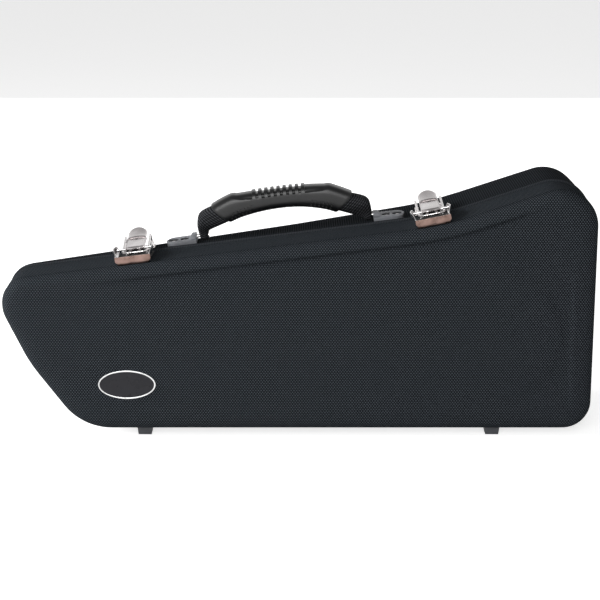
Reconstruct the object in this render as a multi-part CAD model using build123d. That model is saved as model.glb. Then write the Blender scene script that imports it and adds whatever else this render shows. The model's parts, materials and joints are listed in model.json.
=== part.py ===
"""Shaped trumpet case: two fabric-covered shells on a hinge line, latches, handle, feet and foam.

Millimetres. X runs from the mouthpiece end to the bell end, Y away from the viewer, Z up.
The pieces are drawn with the parting plane at Y = 0 and the shells' lowest edge at Z = 0,
and then moved so that the feet stand on Z = 0 and the case is centred in X and Y.
"""

import os
from math import asin, atan2, cos, degrees, radians, sin, tan

from build123d import *

# ---- outline of the two shells on the parting plane ----
left_x = -289.0
right_x = 285.5
right_foot_x = 286.5
heel_x = -215.0
haunch_x, haunch_z = -264.5, 67.0
cheek_z = 119.0
shoulder_z = 151.3
knee_x, knee_z = 136.8, 204.9
crest_z = 254.2
heel_r = 58.0
haunch_r = 150.0
cheek_r = 32.0
shoulder_r = 26.0
knee_r = 350.0
crest_r = 37.0
toe_r = 28.0

# ---- shells ----
lid_depth = 62.0
lid_edge_r = 10.5
base_depth = 80.0
base_low_depth = 12.5
base_mid_x, base_mid_depth = -5.0, 47.0
base_deep_x = 155.0
base_mid_r = 400.0
base_deep_r = 160.0
base_edge_r = 7.0
wall = 4.0
inner_edge_r = 6.0
crease_width = 1.6
crease_depth = 0.8
panel_inset = 13.0
panel_height = 1.2
panel_edge_r = 1.0
cut_past = 1.0

# ---- edge bindings ----
parting_gap = 0.3
bead_proud = 1.2
bead_width = 3.2
cap_thickness = 1.5
notch_clearance = 0.4

# ---- lining and foam ----
lining_gap = 0.3
lining_thickness = 5.0
lining_edge_r = 4.0
foam_recess = 1.0

# ---- the instrument that the case holds ----
trumpet_length = 485.0
trumpet_tilt_deg = 4.0
trumpet_skew_deg = 2.8
bell_x, bell_y, bell_z = 262.0, 10.5, 137.0
bell_r = 62.0
bell_flare_start = 30.4
bell_flare_power = 0.7
bell_lip = 6.0
tube_space_r = 11.0
tubing_height = 98.0
tubing_left_x, tubing_right_x = -185.0, 150.0
tubing_recess = 14.0
valve_half_width = 52.0
valve_rise = 54.0
valve_recess = 32.0
pocket_r = 14.0

# ---- mouthpiece recess ----
mouthpiece_length = 90.0
mouthpiece_cup_r = 14.5
mouthpiece_cup_length = 24.0
mouthpiece_shank_r = 8.0
mouthpiece_taper_length = 12.0
mouthpiece_x = -168.0
mouthpiece_below_top = 26.0

# ---- accessory compartment and its flap ----
compartment_length = 104.0
compartment_x = right_x - 21.1 - compartment_length
compartment_z = 16.5
compartment_height = 36.0
compartment_recess = 62.0
compartment_r = 4.0
flap_lap = 4.0
flap_thickness = 3.0
flap_gap = 0.5
tab_length = 22.0
tab_width = 16.0
tab_thickness = 1.2
tab_overhang = 3.0
tab_corner_r = 4.0

# ---- hinges ----
hinge_xs = (-92.0, 128.0)
hinge_length = 60.0
knuckle_count = 5
knuckle_gap = 0.4
knuckle_r = 3.0
knuckle_clearance = 0.3
hinge_pin_r = 1.5
running_gap = 0.05
leaf_width = 17.0
leaf_thickness = 1.2
hinge_rivet_r = 2.4
hinge_rivet_head = 1.0
hinge_rivet_inset = 6.0
hinge_rivet_pitch = 20.0

# ---- feet ----
foot_xs = (-153.5, 190.0)
foot_height = 8.0
foot_length = 15.0
foot_width = 16.0
foot_taper = 1.0
lid_foot_y = -41.0
base_foot_ys = (13.0, 58.0)
foot_rivet_r = 2.5
foot_rivet_head = 1.0
foot_rivet_recess = 2.0
foot_rivet_recess_r = 4.0

# ---- latches ----
latch_xs = (-160.0, 129.0)
bracket_width = 33.0
bracket_front = -49.0
bracket_back = -9.0
bracket_sheet = 1.3
bracket_face_width = 36.0
bracket_face_low_width = 30.0
bracket_face_height = 8.0
bracket_face_bevel = 3.6
bracket_arch_width = 17.0
bracket_arch_height = 2.0
cheek_height = 13.0
cheek_front_height = 7.2
cheek_top_half = 5.0
pivot_y = -24.0
pivot_height = 9.5
pivot_r = 1.2
pivot_head_r = 2.2
pivot_head = 0.8
toggle_reach = 6.0
toggle_drop_deg = 28.0
bracket_rivet_r = 1.6
bracket_rivet_head = 0.9
bracket_rivet_ys = (-43.0, -13.0)
bracket_rivet_pitch = 20.0

lever_width = 19.0
lever_sheet = 1.4
lever_fold_y, lever_fold_z = 4.0, 12.4
tongue_y, tongue_z = 24.0, 19.0
knuckle_wall = 0.75
toggle_arm_width = 3.4
toggle_arm_x = 5.2
lever_hole_r = 1.1
lever_hole_back = 7.0

bail_wire_r = 1.1
bail_width = 27.0
bail_strap = 2.2
bail_height = 2.0
bail_rise_y, bail_rise_z = -17.0, 7.3
bail_ear_y, bail_ear_z = 13.0, 13.6
bail_hook_back = 2.6
bail_hook_z = 6.6

keeper_front = 6.0
keeper_length = 15.0
keeper_width = 31.0
keeper_sheet = 1.4
keeper_lug_width = 4.0
keeper_lug_length = 4.4
catch_gap = 0.3
keeper_rivet_r = 2.0
keeper_rivet_head = 0.9
keeper_rivet_pitch = 14.0

# ---- handle ----
handle_x = -14.5
handle_y = 15.0
handle_axis_height = 5.6
handle_pin_r = 1.6
handle_pin_head_r = 2.8
handle_pin_head = 1.2
handle_pin_reach = 3.6
grip_width = 26.0
grip_top = 45.0
grip_hump = 43.5
grip_hump_x = 49.0
grip_top_end_x, grip_top_end_z = 71.0, 35.5
grip_low_end_x, grip_low_end_z = 56.0, 18.0
grip_low_mid = 26.0
grip_edge_r = 5.0
grip_long_edge = 40.0
grip_scoop_half = 30.0
grip_scoop_depth = 2.0
rib_count = 9
rib_pitch = 6.0
rib_width = 2.6
rib_length = 20.0
strap_width = 25.0
strap_thickness = 10.0
strap_outer_x = 88.0
strap_shoulder = 4.0
strap_top_z = 30.0
strap_tuck = 5.0
strap_waist = 5.0
strap_flare_height = 12.0
plate_length = 30.5
plate_width = 23.0
plate_thickness = 3.2
plate_slope = 0.6
plate_ear_width = 11.0
plate_ear_top = 8.0
plate_ear_flat = 4.4
plate_ear_length = 8.5
plate_corner_r = 9.0
plate_gap = 0.6
plate_rivet_xs = (13.0, 23.5)
plate_recess_r = 4.9
plate_recess = 1.4
plate_rivet_r = 4.0
plate_rivet_dome = 1.6

# ---- badge ----
badge_x, badge_z = -168.5, 48.5
badge_length = 56.0
badge_height = 29.0
badge_thickness = 1.4
badge_rim = 1.5
badge_floor = 0.5
badge_inlay_thickness = 0.4

# ---- places worked out from the sizes above ----
line_angle = atan2(knee_z - shoulder_z, knee_x - left_x)
rise_angle = atan2(crest_z - knee_z, right_x - knee_x)
knee_tangent = knee_r * tan((rise_angle - line_angle) / 2)
bend_x = knee_x - knee_tangent * cos(line_angle)
bend_z = knee_z - knee_tangent * sin(line_angle)
bend_centre_x = bend_x - knee_r * sin(line_angle)
bend_centre_z = bend_z + knee_r * cos(line_angle)
middle_x = (left_x + right_foot_x) / 2
parting_y = (lid_depth + badge_thickness - base_depth) / 2
shell_inset = bead_proud
bay_inset = shell_inset + wall + lining_gap
case_top = 1.05 * crest_z


def top_height(x):
    """Height of the case's top line at x, and its slope in radians."""
    if x <= bend_x:
        return bend_z + (x - bend_x) * tan(line_angle), line_angle
    angle = min(asin((x - bend_centre_x) / knee_r), rise_angle)
    return bend_centre_z - knee_r * cos(angle), angle


def on_top(x, lift=0.0):
    """A frame on the shells' top wall: its X runs up along the wall, and its Z points out of it."""
    z, angle = top_height(x)
    return Location((x, 0, z), (0, -degrees(angle), 0)) * Pos(0, 0, lift - bead_proud)


def seat_lift(x, width):
    """How far a flat piece stands off the wall where the top line curves."""
    return 0.0 if x + width / 2 <= bend_x else (width / 2) ** 2 / (2 * knee_r)


def rim_face(inset):
    """The case's outline on the parting plane, drawn in by inset."""
    corners = [
        (heel_x, 0),
        (right_foot_x, 0),
        (right_x, crest_z),
        (knee_x, knee_z),
        (left_x, shoulder_z),
        (left_x, cheek_z),
        (haunch_x, haunch_z),
    ]
    radii = [heel_r, toe_r, crest_r, knee_r, shoulder_r, cheek_r, haunch_r]
    face = make_face(Plane.XZ * FilletPolyline(*corners, radius=radii, close=True))
    return offset(face, -inset) if inset else face


def slab(y_from, y_to):
    """Everything between two planes across Y."""
    length = 2 * (right_x - left_x)
    return Pos(0, (y_from + y_to) / 2, case_top / 2) * Box(length, y_to - y_from, 2 * case_top)


def push(face, x=0.0, y=0.0, z=0.0):
    """A face drawn out into a solid along a direction."""
    solids = [Solid.extrude(each, Vector(x, y, z)) for each in face.faces()]
    return Part(Compound(solids).wrapped)


def plate_xz(points, y_from, y_to):
    """A flat piece with its outline in X and Z."""
    face = make_face(Plane.XZ.offset(-y_from) * Polyline(*points, close=True))
    return push(face, y=y_to - y_from)


def plate_yz(points, x_from, x_to):
    """A flat piece with its outline in Y and Z."""
    face = make_face(Plane.YZ.offset(x_from) * Polyline(*points, close=True))
    return push(face, x=x_to - x_from)


def rod_x(y, z, radius, x_from, x_to):
    """A round bar along X."""
    return Pos((x_from + x_to) / 2, y, z) * Rot(0, 90, 0) * Cylinder(radius, x_to - x_from)


def domed_head(radius, height):
    """A rivet head that stands on Z = 0 and points up."""
    ball_r = (radius**2 + height**2) / (2 * height)
    ball = Pos(0, 0, height - ball_r) * Sphere(ball_r)
    return ball & Pos(0, 0, height / 2) * Box(3 * radius, 3 * radius, height)


def lid_block(inset, depth, edge_r):
    block = push(rim_face(inset), y=-depth)
    front = block.faces().sort_by(Axis.Y)[0]
    return fillet(front.edges(), edge_r)


def base_block(inset, back_wall, edge_r):
    """The base's space: shallow at the left, deepest behind the bell."""
    block = push(rim_face(inset), y=base_depth + cut_past)
    low, mid, deep = (d - back_wall for d in (base_low_depth, base_mid_depth, base_depth))
    back = FilletPolyline(
        (left_x, -cut_past), (right_x, -cut_past), (right_x, deep), (base_deep_x, deep),
        (base_mid_x, mid), (left_x, low),
        radius=[0, 0, 0, base_deep_r, base_mid_r, 0], close=True,
    )
    block = block & push(make_face(back), z=case_top)
    rears = [face for face in block.faces() if face.normal_at().Y > 0.7]
    rear_edges = [edge for face in rears for edge in face.edges()]
    borders = [edge for edge in rear_edges if sum(edge.is_same(other) for other in rear_edges) == 1]
    return fillet(borders, edge_r)


# ---- lid ----
def lid_shell():
    shell = lid_block(shell_inset, lid_depth - panel_height, lid_edge_r)
    panel = push(rim_face(panel_inset), y=-lid_depth)
    shell += fillet(panel.faces().sort_by(Axis.Y)[0].edges(), panel_edge_r)
    shell -= lid_block(shell_inset + wall, lid_depth - wall, inner_edge_r)
    shoulder = lid_depth - panel_height - lid_edge_r
    ring = rim_face(0) - rim_face(shell_inset + crease_depth)
    groove = Pos(0, -shoulder, 0) * push(ring, y=-crease_width)
    return shell - groove - slab(-cap_thickness - parting_gap / 2, cut_past)


def binding(side):
    """The edge profile of one shell: a cap over the wall's edge and a bead outside it."""
    start = parting_gap / 2
    cap = push(rim_face(0) - rim_face(shell_inset + wall), y=side * cap_thickness)
    bead = push(rim_face(0) - rim_face(shell_inset), y=side * bead_width)
    strip = Pos(0, side * start, 0) * (cap + bead)
    for x in hinge_xs:
        notch = Box(hinge_length + 2 * notch_clearance, 4 * bead_width, 2 * bead_proud)
        strip -= Pos(x, 0, 0) * notch
    return strip


def lid_lining():
    outside = lid_block(bay_inset, lid_depth - wall - lining_gap, inner_edge_r)
    inside_inset = bay_inset + lining_thickness
    inside = lid_block(inside_inset, lid_depth - wall - lining_gap - lining_thickness, lining_edge_r)
    return outside - inside - slab(-foam_recess, cut_past)


def badge(length, height, y_from, y_to):
    """An upright oval disc on the lid's front."""
    oval = Plane.XZ.offset(-y_from) * Ellipse(length / 2, height / 2)
    return Pos(badge_x, 0, badge_z) * push(oval, y=y_to - y_from)


def badge_plate():
    plate = badge(badge_length, badge_height, -lid_depth - badge_thickness, -lid_depth)
    return plate - badge_field(badge_thickness)


def badge_inlay():
    return badge_field(badge_floor + badge_inlay_thickness)


def badge_field(top):
    """The oval inside the badge's rim, from its floor up to top."""
    length, height = badge_length - 2 * badge_rim, badge_height - 2 * badge_rim
    return badge(length, height, -lid_depth - top, -lid_depth - badge_floor)


# ---- base ----
def base_shell():
    shell = base_block(shell_inset, 0, base_edge_r) - base_block(shell_inset + wall, wall, inner_edge_r)
    return shell - slab(-cut_past, cap_thickness + parting_gap / 2)


def trumpet_axis():
    """A frame at the bell's mouth with its Z along the instrument, towards the mouthpiece."""
    return Location((bell_x, bell_y, bell_z), (0, 0, trumpet_skew_deg)) * Rot(0, -90 - trumpet_tilt_deg, 0)


def axis_height(x):
    return bell_z + (x - bell_x) * tan(radians(trumpet_tilt_deg))


def bell_radius(distance):
    """The flare's radius at a distance from its mouth, as on a horn's bell."""
    share = bell_flare_start / (bell_flare_start + distance)
    return max(bell_r * share**bell_flare_power, tube_space_r)


def bell_space():
    stations = [0, 6, 14, 26, 44, 70, 110, 170, 250]
    wall_points = [(bell_radius(d), d) for d in stations]
    wall_points += [(tube_space_r, trumpet_length - 2 * pocket_r)]
    line = Polyline((0, -bell_lip), (bell_r, -bell_lip), *wall_points,
                    (0, trumpet_length - 2 * pocket_r), close=True)
    horn = revolve(make_face(Plane.XZ * line), Axis.Z)
    return trumpet_axis() * horn


def pocket(x_from, x_to, z_from, z_to, depth, radius):
    """A recess with round corners, open towards the lid."""
    hole = Pos((x_from + x_to) / 2, (depth - cut_past) / 2, (z_from + z_to) / 2)
    hole *= Box(x_to - x_from, depth + cut_past, z_to - z_from)
    return fillet(hole.edges().filter_by(Axis.Y), radius)


def mouthpiece_space():
    z, angle = top_height(mouthpiece_x + mouthpiece_length / 2)
    shank_start = mouthpiece_cup_length + mouthpiece_taper_length
    outline = Polyline((0, 0), (mouthpiece_cup_r, 0), (mouthpiece_cup_r, mouthpiece_cup_length),
                       (mouthpiece_shank_r, shank_start), (mouthpiece_shank_r, mouthpiece_length),
                       (0, mouthpiece_length), close=True)
    shape = revolve(make_face(Plane.XZ * outline), Axis.Z)
    start_z = top_height(mouthpiece_x)[0] - mouthpiece_below_top
    return Location((mouthpiece_x, 0, start_z), (0, 90 - degrees(angle), 0)) * shape


def base_insert():
    foam = base_block(bay_inset, wall + lining_gap, inner_edge_r) - slab(-cut_past, foam_recess)
    foam -= bell_space()
    low_z = axis_height(0) - tubing_height
    top_z = axis_height(0) + tube_space_r
    foam -= pocket(tubing_left_x, tubing_right_x, low_z, top_z, tubing_recess, 2 * pocket_r)
    valve_top = axis_height(0) + valve_rise
    foam -= pocket(-valve_half_width, valve_half_width, low_z, valve_top, valve_recess, pocket_r)
    foam -= mouthpiece_space()
    foam -= pocket(compartment_x, compartment_x + compartment_length, compartment_z,
                   compartment_z + compartment_height, compartment_recess, compartment_r)
    foam -= flap_blank(flap_gap, foam_recess + flap_gap)
    return foam


def flap_blank(clearance, sink):
    """The flap's board, grown by a clearance, as the foam's rebate for it is."""
    width = compartment_length + 2 * (flap_lap + clearance)
    height = compartment_height + 2 * (flap_lap + clearance)
    centre_x = compartment_x + compartment_length / 2
    centre_z = compartment_z + compartment_height / 2
    depth = flap_thickness + sink
    centre_y = foam_recess + depth / 2 - (sink - clearance)
    board = Pos(centre_x, centre_y, centre_z) * Box(width, depth, height)
    return fillet(board.edges().filter_by(Axis.Y), compartment_r)


def compartment_flap():
    return flap_blank(0, 0)


def flap_pull_tab():
    centre_x = compartment_x + compartment_length / 2
    low_z = compartment_z - flap_lap + tab_overhang
    tab = Box(tab_width, tab_thickness, tab_length)
    tab = fillet(tab.edges().filter_by(Axis.Y), tab_corner_r)
    return Pos(centre_x, foam_recess - tab_thickness / 2, low_z + tab_length / 2) * tab


# ---- feet ----
def foot(x, y):
    top = Pos(x, y, bead_proud) * Rectangle(foot_length, foot_width)
    low = Pos(x, y, -foot_height) * Rectangle(foot_length - 2 * foot_taper, foot_width - 2 * foot_taper)
    recess = Pos(x, y, -foot_height) * Cylinder(foot_rivet_recess_r, 2 * foot_rivet_recess)
    return loft([*low.faces(), *top.faces()]) - recess


def foot_rivet(x, y):
    head = Rot(180, 0, 0) * domed_head(foot_rivet_r, foot_rivet_head)
    return Pos(x, y, -foot_height + foot_rivet_recess) * head


# ---- hinges ----
def knuckles(x, parity):
    """The x ranges of one leaf's knuckles: the even ones or the odd ones."""
    pitch = hinge_length / knuckle_count
    start = x - hinge_length / 2
    return [
        (start + i * pitch + knuckle_gap / 2, start + (i + 1) * pitch - knuckle_gap / 2)
        for i in range(knuckle_count) if i % 2 == parity
    ]


hinge_z = bead_proud - knuckle_clearance - knuckle_r


def hinge_leaf(x, side, parity):
    """A leaf on the bottom wall, with its own knuckles round the pin."""
    leaf = Pos(x, side * leaf_width / 2, bead_proud - leaf_thickness / 2)
    leaf *= Box(hinge_length, leaf_width, leaf_thickness)
    clear_r = knuckle_r + notch_clearance
    for x_from, x_to in knuckles(x, 1 - parity):
        leaf -= rod_x(0, hinge_z, clear_r, x_from - knuckle_gap, x_to + knuckle_gap)
    for x_from, x_to in knuckles(x, parity):
        leaf += rod_x(0, hinge_z, knuckle_r, x_from, x_to)
    leaf -= rod_x(0, hinge_z, hinge_pin_r + running_gap, x - hinge_length, x + hinge_length)
    return leaf


def hinge_pin(x):
    return rod_x(0, hinge_z, hinge_pin_r, x - hinge_length / 2, x + hinge_length / 2)


def hinge_rivet(x, side):
    head = Rot(180, 0, 0) * domed_head(hinge_rivet_r, hinge_rivet_head)
    y = side * (leaf_width - hinge_rivet_inset)
    return Pos(x, y, bead_proud - leaf_thickness) * head


# ---- latches ----
def latch_frame(x):
    return on_top(x, seat_lift(x, bracket_width))


def bracket_arch():
    """The arched cut-out in the lower edge of the bracket's face."""
    rise = bracket_arch_height
    radius = (bracket_arch_width**2 / 4 + rise**2) / (2 * rise)
    disc = Rot(90, 0, 0) * Cylinder(radius, 4 * bracket_sheet)
    return Pos(0, bracket_front, rise - radius) * disc


def latch_bracket(x):
    half = bracket_width / 2
    floor_length = bracket_back - bracket_front
    floor = Pos(0, (bracket_front + bracket_back) / 2, bracket_sheet / 2)
    part = floor * Box(bracket_width, floor_length, bracket_sheet)
    cheek = [
        (bracket_front, 0), (bracket_front, cheek_front_height),
        (pivot_y - cheek_top_half, cheek_height), (pivot_y + cheek_top_half, cheek_height),
        (bracket_back, bracket_sheet), (bracket_back, 0),
    ]
    part += plate_yz(cheek, half - bracket_sheet, half)
    part += plate_yz(cheek, -half, bracket_sheet - half)
    face_half, low_half = bracket_face_width / 2, bracket_face_low_width / 2
    face = [
        (-low_half, 0), (low_half, 0), (face_half, bracket_face_bevel),
        (face_half, bracket_face_height), (-face_half, bracket_face_height),
        (-face_half, bracket_face_bevel),
    ]
    part += plate_xz(face, bracket_front - bracket_sheet, bracket_front)
    part -= bracket_arch() & plate_xz(face, bracket_front - bracket_sheet, bracket_front)
    part -= rod_x(pivot_y, pivot_height, pivot_r + running_gap, -half - cut_past, half + cut_past)
    return latch_frame(x) * part


def pivot_pin(x):
    half = bracket_width / 2
    pin = rod_x(pivot_y, pivot_height, pivot_r, -half, half)
    for side in (-1, 1):
        head = rod_x(pivot_y, pivot_height, pivot_head_r, half, half + pivot_head)
        pin += head if side > 0 else mirror(head, Plane.YZ)
    return latch_frame(x) * pin


toggle_y = pivot_y - toggle_reach * cos(radians(toggle_drop_deg))
toggle_z = pivot_height - toggle_reach * sin(radians(toggle_drop_deg))


def strip_yz(points, thickness, x_from, x_to):
    """Sheet metal that follows a line in Y and Z, with its thickness shared to both sides."""
    line = [Vector(y, z) for y, z in points]
    runs = [(b - a).normalized() for a, b in zip(line, line[1:])]
    before = [runs[0], *runs]
    after = [*runs, runs[-1]]
    sides = []
    for point, run_in, run_out in zip(line, before, after):
        mitre = (run_in + run_out).normalized()
        normal = Vector(-mitre.Y, mitre.X)
        sides.append((point, normal * (thickness / 2 / mitre.dot(run_out))))
    upper = [point + side for point, side in sides]
    lower = [point - side for point, side in reversed(sides)]
    return plate_yz([(v.X, v.Y) for v in upper + lower], x_from, x_to)


def latch_lever(x):
    """Plate and domed thumb tongue, with a knuckle on the pin and two arms that carry the bail."""
    half = lever_width / 2
    seat = pivot_height + pivot_r
    knuckle_out = pivot_r + running_gap + knuckle_wall
    plate = strip_yz(
        [(pivot_y, seat + lever_sheet / 2), (lever_fold_y, lever_fold_z)], lever_sheet, -half, half
    )
    tongue = strip_yz([(lever_fold_y, lever_fold_z), (tongue_y, tongue_z)], lever_sheet, -half, half)
    dome = Pos(0, tongue_y - half, 0) * Cylinder(half, 4 * tongue_z)
    dome += Pos(0, (pivot_y + tongue_y - half) / 2, 0) * Box(
        lever_width, tongue_y - half - pivot_y, 4 * tongue_z
    )
    part = plate + (tongue & dome)
    part += rod_x(pivot_y, pivot_height, knuckle_out, -half, half)
    curl_out = bail_wire_r + running_gap + knuckle_wall
    for side in (-1, 1):
        x_from = side * toggle_arm_x - toggle_arm_width / 2
        x_to = side * toggle_arm_x + toggle_arm_width / 2
        part += strip_yz([(pivot_y, pivot_height), (toggle_y, toggle_z)], 2 * knuckle_wall, x_from, x_to)
        part += rod_x(toggle_y, toggle_z, curl_out, x_from, x_to)
    part -= rod_x(pivot_y, pivot_height, pivot_r + running_gap, -half - cut_past, half + cut_past)
    part -= rod_x(toggle_y, toggle_z, bail_wire_r + running_gap, -half - cut_past, half + cut_past)
    part -= Pos(0, lever_fold_y - lever_hole_back, lever_fold_z) * Cylinder(lever_hole_r, 4 * lever_sheet)
    return latch_frame(x) * part


def latch_bail(x):
    """A U of flat strap: round bar in front, two arms, and a hook at the end of each."""
    outer = bail_width / 2
    inner = outer - bail_strap
    part = rod_x(toggle_y, toggle_z, bail_wire_r, -inner, inner)
    hook_y = bail_ear_y + bail_hook_back
    arm = [(toggle_y, toggle_z), (bail_rise_y, bail_rise_z), (bail_ear_y, bail_ear_z),
           (hook_y, bail_ear_z - bail_height), (hook_y, bail_hook_z)]
    for x_from in (-outer, inner):
        part += strip_yz(arm, bail_height, x_from, x_from + bail_strap)
        part += rod_x(toggle_y, toggle_z, bail_wire_r, x_from, x_from + bail_strap)
    return latch_frame(x) * part


def latch_keeper(x):
    """A plate on the base, with a lug under each hook of the bail."""
    plate = Pos(0, keeper_front + keeper_length / 2, keeper_sheet / 2)
    part = plate * Box(keeper_width, keeper_length, keeper_sheet)
    lug_top = bail_hook_z - catch_gap
    lug_y = bail_ear_y + bail_hook_back
    arm_x = bail_width / 2 - bail_strap / 2
    for side in (-1, 1):
        lug = Pos(side * arm_x, lug_y, lug_top / 2)
        part += lug * Box(keeper_lug_width, keeper_lug_length, lug_top)
    return latch_frame(x) * part


def bracket_rivets(x):
    head = domed_head(bracket_rivet_r, bracket_rivet_head)
    return [
        latch_frame(x) * Pos(side * bracket_rivet_pitch / 2, y, bracket_sheet) * head
        for side in (-1, 1) for y in bracket_rivet_ys
    ]


def keeper_rivets(x):
    y = keeper_front + keeper_length / 2
    head = domed_head(keeper_rivet_r, keeper_rivet_head)
    return [
        latch_frame(x) * Pos(side * keeper_rivet_pitch / 2, y, keeper_sheet) * head
        for side in (-1, 1)
    ]


# ---- handle ----
def grip_outline():
    low = ThreePointArc(
        (-grip_low_end_x, grip_low_end_z), (0, grip_low_mid), (grip_low_end_x, grip_low_end_z)
    )
    top = ThreePointArc((grip_hump_x, grip_hump), (0, grip_top), (-grip_hump_x, grip_hump))
    right = Polyline((grip_low_end_x, grip_low_end_z), (grip_top_end_x, grip_top_end_z),
                     (grip_hump_x, grip_hump))
    left = Polyline((-grip_hump_x, grip_hump), (-grip_top_end_x, grip_top_end_z),
                    (-grip_low_end_x, grip_low_end_z))
    return low + right + top + left


def handle_grip():
    half = grip_width / 2
    face = make_face(Plane.XZ.offset(half) * grip_outline())
    body = push(face, y=grip_width)
    sides = body.faces().filter_by(Axis.Y)
    long_edges = [edge for edge in sides.edges() if edge.length > grip_long_edge]
    body = fillet(long_edges, grip_edge_r)
    scoop_r = (grip_scoop_half**2 + grip_scoop_depth**2) / (2 * grip_scoop_depth)
    scoop = Pos(0, 0, grip_top - grip_scoop_depth + scoop_r) * Rot(90, 0, 0)
    body -= scoop * Cylinder(scoop_r, grip_width - 2 * grip_edge_r)
    for i in range(rib_count):
        rib_x = (i - (rib_count - 1) / 2) * rib_pitch
        rib = Pos(rib_x, 0, grip_top - grip_scoop_depth) * Rot(90, 0, 0)
        body += rib * Cylinder(rib_width / 2, rib_length) & Pos(rib_x, 0, grip_top) * Box(
            rib_pitch, rib_length, 3 * grip_scoop_depth
        )
    return on_handle() * body


def on_handle():
    """The handle's frame: X along the top wall, Z away from it, Y centred on the grip."""
    return on_top(handle_x) * Pos(0, handle_y, 0)


def handle_strap(side):
    """Doubled webbing from the pin up and over into the grip, narrowed to a waist at the pin."""
    outer, inner = strap_outer_x, strap_outer_x - strap_thickness
    outline = [
        (inner, handle_axis_height - strap_waist), (outer, handle_axis_height - strap_waist),
        (outer, strap_top_z - strap_shoulder), (outer - strap_shoulder, strap_top_z),
        (grip_top_end_x, grip_top_end_z), (grip_low_end_x, grip_low_end_z),
        (inner, grip_low_end_z - strap_tuck),
    ]
    half = strap_width / 2
    face = make_face(Plane.XZ.offset(half) * Polyline(*outline, close=True))
    body = push(face, y=strap_width)
    waist_top = handle_axis_height + strap_flare_height
    profile = [
        (-strap_waist, handle_axis_height), (-half, waist_top), (-half, grip_top),
        (half, grip_top), (half, waist_top), (strap_waist, handle_axis_height),
    ]
    envelope = plate_yz(profile, 0, outer + cut_past)
    envelope += rod_x(0, handle_axis_height, strap_waist, 0, outer + cut_past)
    body = body & envelope
    bore_r = handle_pin_r + running_gap
    body -= rod_x(0, handle_axis_height, bore_r, inner - cut_past, outer + cut_past)
    return on_handle() * (body if side > 0 else mirror(body, Plane.YZ))


def handle_plate(side):
    """The grey end plate: two round recesses, and an ear beside the strap that holds the pin."""
    start = strap_outer_x + plate_gap
    half = plate_width / 2
    highest = plate_thickness + plate_slope
    outline = [
        (start, 0), (start + plate_length, 0), (start + plate_length, plate_thickness),
        (start, highest),
    ]
    face = make_face(Plane.XZ.offset(half) * Polyline(*outline, close=True))
    body = push(face, y=plate_width)
    ends = body.edges().filter_by(Axis.Z).group_by(Axis.X)[-1]
    body = fillet(ends, plate_corner_r)
    recess = Cylinder(plate_recess_r, 2 * (plate_recess + plate_slope))
    for offset_x in plate_rivet_xs:
        body -= Pos(start + offset_x, 0, highest) * recess
    ear = [
        (start, 0), (start + plate_ear_length, plate_thickness), (start + plate_ear_flat, plate_ear_top),
        (start, plate_ear_top),
    ]
    body += plate_xz(ear, -plate_ear_width / 2, plate_ear_width / 2)
    bore_r = handle_pin_r + running_gap
    body -= rod_x(0, handle_axis_height, bore_r, start - cut_past, start + plate_ear_length)
    return on_handle() * (body if side > 0 else mirror(body, Plane.YZ))


def handle_pin(side):
    start = strap_outer_x - strap_thickness - plate_gap
    end = strap_outer_x + plate_gap + handle_pin_reach
    pin = rod_x(0, handle_axis_height, handle_pin_r, start, end)
    pin += rod_x(0, handle_axis_height, handle_pin_head_r, start - handle_pin_head, start)
    return on_handle() * (pin if side > 0 else mirror(pin, Plane.YZ))


def plate_rivets(side):
    start = strap_outer_x + plate_gap
    heads = []
    for offset_x in plate_rivet_xs:
        place = Pos(side * (start + offset_x), 0, plate_thickness - plate_recess)
        heads.append(on_handle() * place * domed_head(plate_rivet_r, plate_rivet_dome))
    return heads


def save(node, *shapes):
    """Writes one node, moved to where the case stands."""
    solids = [solid for shape in shapes for solid in shape.solids()]
    whole = solids[0] if len(solids) == 1 else Compound(solids)
    export_step(Pos(-middle_x, parting_y, foot_height) * whole, f"parts/{node}.step")


os.makedirs("parts", exist_ok=True)

save("lid_shell", lid_shell())
save("lid_rim_binding", binding(-1))
save("lid_lining", lid_lining())
save("badge_plate", badge_plate())
save("badge_inlay", badge_inlay())
save("base_shell", base_shell())
save("base_rim_binding", binding(1))
save("base_insert", base_insert())
save("compartment_flap", compartment_flap())
save("flap_pull_tab", flap_pull_tab())

save("lid_feet", *[foot(x, lid_foot_y) for x in foot_xs])
save("lid_foot_rivets", *[foot_rivet(x, lid_foot_y) for x in foot_xs])
save("base_feet", *[foot(x, y) for x, y in zip(foot_xs, base_foot_ys)])
save("base_foot_rivets", *[foot_rivet(x, y) for x, y in zip(foot_xs, base_foot_ys)])

save("hinge_base_leaves", *[hinge_leaf(x, 1, 0) for x in hinge_xs])
save("hinge_lid_leaves", *[hinge_leaf(x, -1, 1) for x in hinge_xs])
save("hinge_pins", *[hinge_pin(x) for x in hinge_xs])
rivet_xs = [x + i * hinge_rivet_pitch for x in hinge_xs for i in (-1, 0, 1)]
save("hinge_base_rivets", *[hinge_rivet(x, 1) for x in rivet_xs])
save("hinge_lid_rivets", *[hinge_rivet(x, -1) for x in rivet_xs])

for name, latch_x in zip(("left", "right"), latch_xs):
    save(f"latch_bracket_{name}", latch_bracket(latch_x))
    save(f"latch_lever_{name}", latch_lever(latch_x))
    save(f"latch_bail_{name}", latch_bail(latch_x))
    save(f"latch_keeper_{name}", latch_keeper(latch_x))
save("latch_pivot_pins", *[pivot_pin(x) for x in latch_xs])
save("bracket_rivets", *[head for x in latch_xs for head in bracket_rivets(x)])
save("keeper_rivets", *[head for x in latch_xs for head in keeper_rivets(x)])

save("handle_grip", handle_grip())
for name, hand in (("left", -1), ("right", 1)):
    save(f"handle_strap_{name}", handle_strap(hand))
    save(f"handle_plate_{name}", handle_plate(hand))
save("handle_pins", *[handle_pin(hand) for hand in (-1, 1)])
save("handle_plate_rivets", *[head for hand in (-1, 1) for head in plate_rivets(hand)])
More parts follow.
